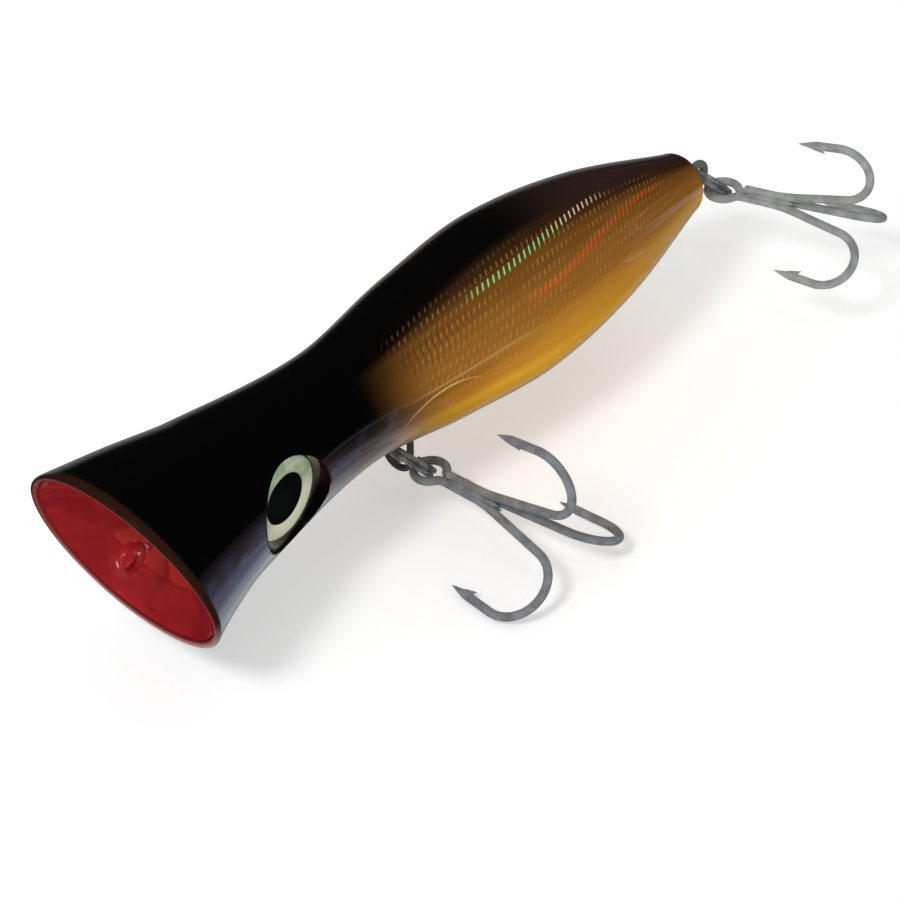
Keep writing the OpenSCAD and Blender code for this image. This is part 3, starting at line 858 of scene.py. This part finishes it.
def build_cup(material):
    steps = 160
    share = np.concatenate([np.linspace(0, 0.93, 60), (0.96, 0.985, 1.0)])
    around = np.arange(steps) * 2 * math.pi / steps
    rr, tt = np.meshgrid(share * CUP_R, around, indexing="ij")
    t_in = 1 - rr / CUP_R
    deep = CUP_SINK + CUP_DEPTH * (1 - (1 - t_in) ** 2.2)
    turned = (tt + math.pi) % (2 * math.pi) - math.pi
    relief = cup_relief(rr, np.abs(turned))
    front = deep - 0.45 * relief + 0.25 * np.exp(-(CUP_R - rr) / 0.3)
    hub = HUB_RISE * ease((HUB_R + 1.2 - rr) / 1.2)
    back = deep + CUP_SHEET * 1.1 + hub
    rim = np.minimum(rr, CUP_R - 0.15)
    layers = []
    for radius, depth in ((rr, front), (rim, back)):
        layer = np.stack([radius * np.cos(tt), radius * np.sin(tt), depth], -1)
        layers.append(layer.reshape(-1, 3))
    points = np.concatenate(layers)
    rows = len(share)
    start = rows * steps
    faces = grid_faces(rows, steps, wrap=True)[steps:]
    faces += grid_faces(rows, steps, start, flip=True, wrap=True)[steps:]
    faces.append(tuple(steps + j for j in range(steps)))
    faces.append(tuple(start + steps + j for j in range(steps))[::-1])
    end = (rows - 1) * steps
    for j in range(steps):
        k = (j + 1) % steps
        faces.append((end + j, end + k, start + end + k, start + end + j))
    turn = turn_about("Y", 90 - MOUTH_LEAN)
    points = points @ turn.T + (-RIM_AHEAD, 0, 0)
    made = new_object("mouth_dish", points, faces)
    made.data.flip_normals()
    set_attribute(made, "relief", np.concatenate([relief.ravel()] * 2))
    smooth(made, 40)
    return piece(made, "body", "mouth_cup", material)


# ---------------------------------------------------------------- wires


def loop_points(middle, radius, u, v, count=72):
    t = np.arange(count) * 2 * math.pi / count
    return np.asarray(middle) + radius * (np.outer(np.cos(t), u) + np.outer(np.sin(t), v))


def build_wire(material):
    x, z = (1, 0, 0), (0, 0, 1)
    along = unit(np.array(TAIL_EYE))
    length = np.linalg.norm(TAIL_EYE)
    straight = np.outer(np.linspace(EYELET_R, length - EYELET_R, 60), along)
    parts = [
        tube(loop_points((0, 0, 0), EYELET_R, x, z), [WIRE_R] * 72, closed=True),
        tube(straight, [WIRE_R] * 60),
        tube(loop_points(TAIL_EYE, EYELET_R, x, z), [WIRE_R] * 72, closed=True),
    ]
    made = joined("tow_wire", parts)
    smooth(made, 60)
    return piece(made, "body", "through_wire", material)


def build_link(material):
    wire_height = -LINK_AT[0] * math.tan(WIRE_SLOPE) - LINK_AT[2]
    rise = wire_height + WIRE_R + PLAY / 2 - LINK_R + LINK_WIRE_R
    points = []
    for end in (0, 1):
        for t in np.radians(np.arange(0, 181, 6)) + math.pi * (end + 1):
            points.append((0, LINK_R * math.cos(t), LINK_R * math.sin(t) + rise * end))
    points = np.array(points)
    wire = tube(points + LINK_AT, [LINK_WIRE_R] * len(points), closed=True)
    made = joined("hanger_link", [wire])
    smooth(made, 60)
    return piece(made, "body", "belly_link", material)


def ring_turn():
    return turn_about("Y", 90 - RING_LEAN) @ turn_about("X", RING_SWING)


def build_ring(name, at, body, node, material):
    """Split ring: a flat coil of just under two turns with filed ends."""
    turns = np.radians(RING_START + np.linspace(0, RING_TURN, 150))
    rise = (2 * RING_WIRE_R + HAIR) / (2 * math.pi)
    points = np.stack([
        RING_R * np.cos(turns), RING_R * np.sin(turns), rise * (turns - turns.mean()),
    ], -1)
    radii = np.full(len(points), RING_WIRE_R)
    radii[[0, -1]] = RING_WIRE_R * 0.7
    made = joined(name, [tube(points @ ring_turn().T + at, radii, sides=16)])
    smooth(made, 60)
    return piece(made, body, node, material)


# ---------------------------------------------------------------- treble hooks


def hook_path(size, spoke):
    """Middle line and radii of one hook, then where its point starts and how it runs."""
    flare, last = math.radians(FLARE), math.radians(180 + POINT_LEAN)
    length, r, out, reach = SHANK_LEN * size, BEND_R * size, SPREAD * size, POINT_LEN * size
    meet = (length + r * math.sin(flare), out - r * math.cos(flare))
    crook_rise = CROOK_R * (1 - math.cos(flare))
    knee = meet[0] - (meet[1] - HOOK_OFF - crook_rise) / math.tan(flare)
    knee -= CROOK_R * math.sin(flare)
    line = []
    for a in np.linspace(0, flare, 8):
        line.append((knee + CROOK_R * math.sin(a), HOOK_OFF + CROOK_R * (1 - math.cos(a)), 1))
    for a in np.linspace(flare, last, 44):
        line.append((length + r * math.sin(a), out - r * math.cos(a), 1))
    tip = np.array(line[-1][:2])
    ahead = np.array([math.cos(last), math.sin(last)])
    for share in np.linspace(0, 1, 6)[1:]:
        line.append((*(tip + ahead * (reach - TIP_LEN) * share), 1))
    for share in np.linspace(0, 1, 10)[1:]:
        thin = (1 - share) ** 0.85
        line.append((*(tip + ahead * (reach - TIP_LEN + TIP_LEN * share)), max(thin, 0.05)))
    line = np.array(line)
    c, s = math.cos(math.radians(spoke)), math.sin(math.radians(spoke))
    points = np.stack([line[:, 0], line[:, 1] * c, line[:, 1] * s], -1)
    return points, HOOK_WIRE_R * line[:, 2], tip, ahead


def barb(size, spoke):
    """Sliver cut up from the inside of the point."""
    _, _, tip, ahead = hook_path(size, spoke)
    inward = np.array([ahead[1], -ahead[0]])
    if inward[1] > 0:
        inward = -inward
    root = POINT_LEN * size - TIP_LEN
    flat = [
        tip + ahead * (root + TIP_LEN * 0.5) + inward * 0.2,
        tip + ahead * (root - TIP_LEN * 0.2) + inward * 0.2,
        tip + ahead * (root - TIP_LEN * 0.5) + inward * (HOOK_WIRE_R + 0.75),
        tip + ahead * (root + TIP_LEN * 0.05) + inward * (HOOK_WIRE_R + 0.12),
    ]
    c, s = math.cos(math.radians(spoke)), math.sin(math.radians(spoke))
    half = 0.24
    points = []
    for side in (-1, 1):
        for k, (x, y) in enumerate(flat):
            thin = half * (0.25 if k == 2 else 1) * side
            points.append((x, y * c - thin * s, y * s + thin * c))
    faces = [(0, 1, 2, 3), (7, 6, 5, 4)]
    faces += [(k, k + 4, (k + 1) % 4 + 4, (k + 1) % 4) for k in range(4)]
    return np.array(points), faces


def solder(size, spoke):
    """Bead of solder in the groove between two shanks."""
    end = SHANK_LEN * size * 0.62
    x = np.linspace(STUB_AT + 0.6, end, 40)
    out = np.full(len(x), HOOK_WIRE_R * 1.28)
    c, s = math.cos(math.radians(spoke)), math.sin(math.radians(spoke))
    points = np.stack([x, out * c, out * s], -1)
    wobble = 0.42 + 0.05 * np.sin(x * 1.7) + 0.03 * np.sin(x * 4.1)
    fade = np.sqrt(np.clip(np.minimum(x - x[0], x[-1] - x) / 1.2, 0.02, 1))
    return tube(points, wobble * fade, sides=10)


def double_parts(size):
    """Two hooks bent from one wire, with the eye between them."""
    side = HOOK_OFF * math.sin(math.radians(60))
    level = -HOOK_OFF * math.cos(math.radians(60))
    rise = math.sqrt((HOOK_EYE_R + EYE_THROAT) ** 2 - (side + EYE_THROAT) ** 2)
    meet = math.atan2(side + EYE_THROAT, rise)
    left, left_r, _, _ = hook_path(size, 120)
    right, right_r, _, _ = hook_path(size, 240)
    throat = []
    for a in np.linspace(1.5 * math.pi, math.pi + meet, 8):
        out = side + EYE_THROAT * (1 + math.sin(a))
        throat.append((rise + EYE_THROAT * math.cos(a), level, out))
    loop = []
    for a in np.linspace(meet, 2 * math.pi - meet, 50)[1:-1]:
        loop.append((HOOK_EYE_R * math.cos(a), level, HOOK_EYE_R * math.sin(a)))
    throat, loop = np.array(throat), np.array(loop)
    shank = np.linspace(0, 1, 24)[1:-1, None]
    there = left[0] + (throat[0] - left[0]) * shank
    back = throat[::-1] * (1, 1, -1)
    again = back[-1] + (right[0] - back[-1]) * shank
    points = np.concatenate([left[::-1], there, throat, loop, back, again, right])
    plain = np.full(len(points) - len(left_r) - len(right_r), HOOK_WIRE_R)
    radii = np.concatenate([left_r[::-1], plain, right_r])
    return [tube(points, radii), barb(size, 120), barb(size, 240), solder(size, 180)]


def single_parts(size):
    """Third hook, with its cut end just behind the eye."""
    points, radii, _, _ = hook_path(size, 0)
    shank = np.linspace(0, 1, 20)[:-1, None]
    start = np.array([STUB_AT, points[0][1], 0])
    points = np.concatenate([start + (points[0] - start) * shank, points])
    radii = np.concatenate([np.full(len(shank), HOOK_WIRE_R), radii])
    radii[0] *= 0.86
    return [tube(points, radii), barb(size, 0), solder(size, 60), solder(size, 300)]


def build_treble(name, parts, turn, at, body, node, material):
    placed = [(vertices @ turn.T + at, faces) for vertices, faces in parts]
    made = joined(name, placed)
    smooth(made, 42)
    return piece(made, body, node, material)


def build_trebles(dark, pale):
    belly = turn_about("Z", -91.7) @ turn_about("Y", -3.2) @ turn_about("X", 92)
    tail = turn_about("Z", -73.8) @ turn_about("Y", -1.7) @ turn_about("X", 90)
    trebles = (
        ("belly", 1, belly, BELLY_HOOK_EYE, "hook_dark", dark),
        ("tail", TAIL_TREBLE_SIZE, tail, TAIL_HOOK_EYE, "hook_pale", pale),
    )
    for end, size, turn, at, slot, metal in trebles:
        body = end + "_treble"
        build_treble(end + "_hook_pair", double_parts(size), turn, at, body, body + "_double",
                     metal)
        build_treble(end + "_hook_third", single_parts(size), turn, at, body, body + "_single",
                     metal)


# ---------------------------------------------------------------- eyes


def build_eye(side, print_material, clear_material):
    name = "right" if side > 0 else "left"
    share = np.linspace(0, 1, 34)[1:]
    face = [(EYE_R * k, DISC_T - 0.12 * k**4) for k in share]
    disc = lathe("eye_print_" + name, [(0, DISC_T)] + face + [(EYE_R, 0), (0, 0)])
    local = points_of(disc)
    set_attribute(disc, "radius", np.hypot(local[:, 0], local[:, 1]))
    set_attribute(disc, "angle", np.degrees(np.arctan2(-local[:, 1], local[:, 0])))
    seat_at_eye(disc, side, -SOCKET_DEPTH)
    smooth(disc, 40)
    piece(disc, "body", "eye_disc_" + name, print_material)
    dome = (EYE_R**2 + LENS_RISE**2) / (2 * LENS_RISE)
    base = DISC_T + HAIR
    top = DISC_T + LENS_EDGE + LENS_RISE
    crown = [(EYE_R * k, top - dome + math.sqrt(dome**2 - (EYE_R * k) ** 2)) for k in share]
    lens = lathe("eye_resin_" + name, [(0, top)] + crown + [(EYE_R, base), (0, base)])
    seat_at_eye(lens, side, -SOCKET_DEPTH)
    smooth(lens, 40)
    piece(lens, "body", "eye_lens_" + name, clear_material)


# ---------------------------------------------------------------- foils


def build_foil(side, material):
    name = "right" if side > 0 else "left"
    rows, columns = 120, 60
    t = np.linspace(0, 1, rows)
    s = FOIL_FROM + FOIL_LONG * t
    reach = FOIL_HALF * np.sin(np.pi * (0.06 + 0.88 * t)) ** 0.7
    across = np.linspace(-1, 1, columns)
    ss = np.repeat(s[:, None], columns, 1)
    aa = FOIL_DROP + reach[:, None] * across[None]
    hh = half_height(ss)
    depth = 0.06
    emboss = depth * np.sin(2 * np.pi * (ss / SCALE_PITCH - aa * 0.12))
    emboss = emboss * np.cos(np.pi * across[None] / 2)
    layers = []
    for inset in (FOIL_SET + depth + emboss, FOIL_SET + FOIL_T):
        h = hh - inset
        a = np.radians(aa)
        x = ss * (1 - inset / (AXIS_LEN + TAIL_CAP))
        layers.append(np.stack([
            x - RIM_AHEAD, side * h * np.cos(a) * width_share(x), centre_z(x) + h * np.sin(a),
        ], -1).reshape(-1, 3))
    start = rows * columns
    faces = grid_faces(rows, columns) + grid_faces(rows, columns, start, flip=True)
    for i in range(rows - 1):
        a, b = i * columns, (i + 1) * columns
        faces.append((a, b, start + b, start + a))
        a, b = a + columns - 1, b + columns - 1
        faces.append((b, a, start + a, start + b))
    end = start - columns
    for j in range(columns - 1):
        faces.append((j + 1, j, start + j, start + j + 1))
        faces.append((end + j, end + j + 1, start + end + j + 1, start + end + j))
    if side < 0:
        faces = [face[::-1] for face in faces]
    made = new_object("foil_sheet_" + name, np.concatenate(layers), faces)
    set_attribute(made, "along", np.concatenate([ss.ravel()] * 2))
    set_attribute(made, "flank", np.concatenate([aa.ravel()] * 2))
    smooth(made, 50)
    return piece(made, "body", "foil_" + name, material)


# ---------------------------------------------------------------- inside parts


def dress(node, material):
    target = frame["nodes"][node].data
    target.materials.clear()
    target.materials.append(material)
    target.shade_smooth()
    target.set_sharp_from_angle(angle=math.radians(35))


# ---------------------------------------------------------------- studio


CAMERA_AZIMUTH = -48.616
CAMERA_HEIGHT = 39.618
CAMERA_ROLL = -0.71
CAMERA_AIM = (0.06763, -0.01056, -0.01393)
CAMERA_AWAY = 0.6588
LENS = 150.15


def view_axes():
    a, e = math.radians(CAMERA_AZIMUTH), math.radians(CAMERA_HEIGHT)
    back = Vector((math.sin(a) * math.cos(e), -math.cos(a) * math.cos(e), math.sin(e)))
    right = Vector((0, 0, 1)).cross(back).normalized()
    right.rotate(Matrix.Rotation(math.radians(CAMERA_ROLL), 3, back))
    return back, right, back.cross(right)


def add_camera():
    back, right, up = view_axes()
    data = bpy.data.cameras.new("camera")
    data.lens = LENS
    data.sensor_width = 36
    data.clip_start = 0.01
    made = bpy.data.objects.new("camera", data)
    turn = Matrix((right, up, back)).transposed().to_4x4()
    made.matrix_world = Matrix.Translation(Vector(CAMERA_AIM) + back * CAMERA_AWAY) @ turn
    bpy.context.scene.collection.objects.link(made)
    bpy.context.scene.camera = made


def add_light(name, direction, away, size, watts, glossy):
    data = bpy.data.lights.new(name, "AREA")
    data.shape = "DISK"
    data.size = size
    data.energy = watts
    made = bpy.data.objects.new(name, data)
    direction = direction.normalized()
    made.location = Vector(CAMERA_AIM) + direction * away
    made.rotation_euler = direction.to_track_quat("Z", "Y").to_euler()
    made.visible_glossy = glossy
    bpy.context.scene.collection.objects.link(made)


def add_world():
    """White to the camera, soft grey light on the object, and almost no mirrored world."""
    world = bpy.data.worlds.new("studio")
    world.use_nodes = True
    bpy.context.scene.world = world
    tree = world.node_tree
    path = tree.nodes.new("ShaderNodeLightPath")
    seen = Value(tree, path.outputs["Is Camera Ray"])
    mirrored = Value(tree, path.outputs["Is Glossy Ray"])
    way = tree.nodes.new("ShaderNodeVectorMath")
    way.operation = "DOT_PRODUCT"
    tree.links.new(tree.nodes.new("ShaderNodeTexCoord").outputs["Generated"], way.inputs[0])
    way.inputs[1].default_value = -view_axes()[0]
    behind = Value(tree, way.outputs["Value"]).step(0.8, 0.97)
    dim = 0.56 - mirrored * (0.555 - behind * 0.19)
    strength = seen + (1 - seen) * dim
    plug(tree, strength, tree.nodes["Background"].inputs["Strength"])
    tree.nodes["Background"].inputs["Color"].default_value = (1, 1, 1, 1)


def add_floor():
    low = CAD_BOX[0][2]
    bpy.ops.mesh.primitive_plane_add(size=6, location=(0, 0, low - 0.0004))
    floor = bpy.context.object
    floor.name = "floor"
    made, tree, shader = new_material("floor_white")
    settings(tree, shader, base=(0.9, 0.9, 0.9, 1), rough=0.9, specular=0.0, glow=(1, 1, 1, 1),
             glow_strength=0.26)
    floor.data.materials.append(made)
    floor.visible_glossy = False


def build_studio():
    bpy.context.scene.view_settings.view_transform = "Standard"
    back, right, up = view_axes()
    add_world()
    add_floor()
    add_camera()
    add_light("key", back + 0.28 * up - 0.4 * right, 0.9, 0.22, 3.0, False)
    add_light("fill", Vector((-0.35, -0.9, 0.12)), 0.9, 0.6, 1.7, False)
    add_light("spark", back + 0.55 * up + 0.1 * right, 1.2, 0.03, 0.25, True)
    add_light("rim", Vector((0.35, 0.8, 0.35)), 0.9, 0.7, 1.0, False)


def build_object():
    skin = skin_material()
    for side in (-1, 1):
        build_shell(side, skin)
    build_cup(cup_material())
    build_wire(wire_material())
    build_link(metal_material("link_metal", (84, 84, 86), (120, 120, 122), 0.3, metal=0.5))
    ring_metal = metal_material("ring_metal", (96, 98, 102), (196, 198, 202), 0.16, metal=0.55)
    build_ring("belly_ring", BELLY_RING_AT, "belly_ring", "belly_split_ring", ring_metal)
    build_ring("tail_ring", TAIL_RING_AT, "tail_ring", "tail_split_ring", ring_metal)
    dark = metal_material("hook_metal_dark", (132, 134, 138), (162, 165, 169), 0.3, metal=0.35)
    pale = metal_material("hook_metal_pale", (154, 158, 158), (188, 192, 190), 0.3,
                          tint=(172, 164, 152), metal=0.3)
    build_trebles(dark, pale)
    eye_print = eye_material()
    clear = lens_material()
    foil = foil_material()
    for side in (-1, 1):
        build_eye(side, eye_print, clear)
        build_foil(side, foil)
    smoky = moulded_material("rattle_moulding", (190, 186, 170), (214, 212, 200))
    dress("rattle_tube", smoky)
    dress("rattle_cap", smoky)
    dress("rattle_ball", metal_material("ball_chrome", (150, 150, 152), (196, 196, 198), 0.05))
    weight = metal_material("weight_iron", (84, 84, 86), (118, 116, 114), 0.4)
    dress("belly_weight", weight)
    dress("tail_weight", weight)


build_object()
build_studio()
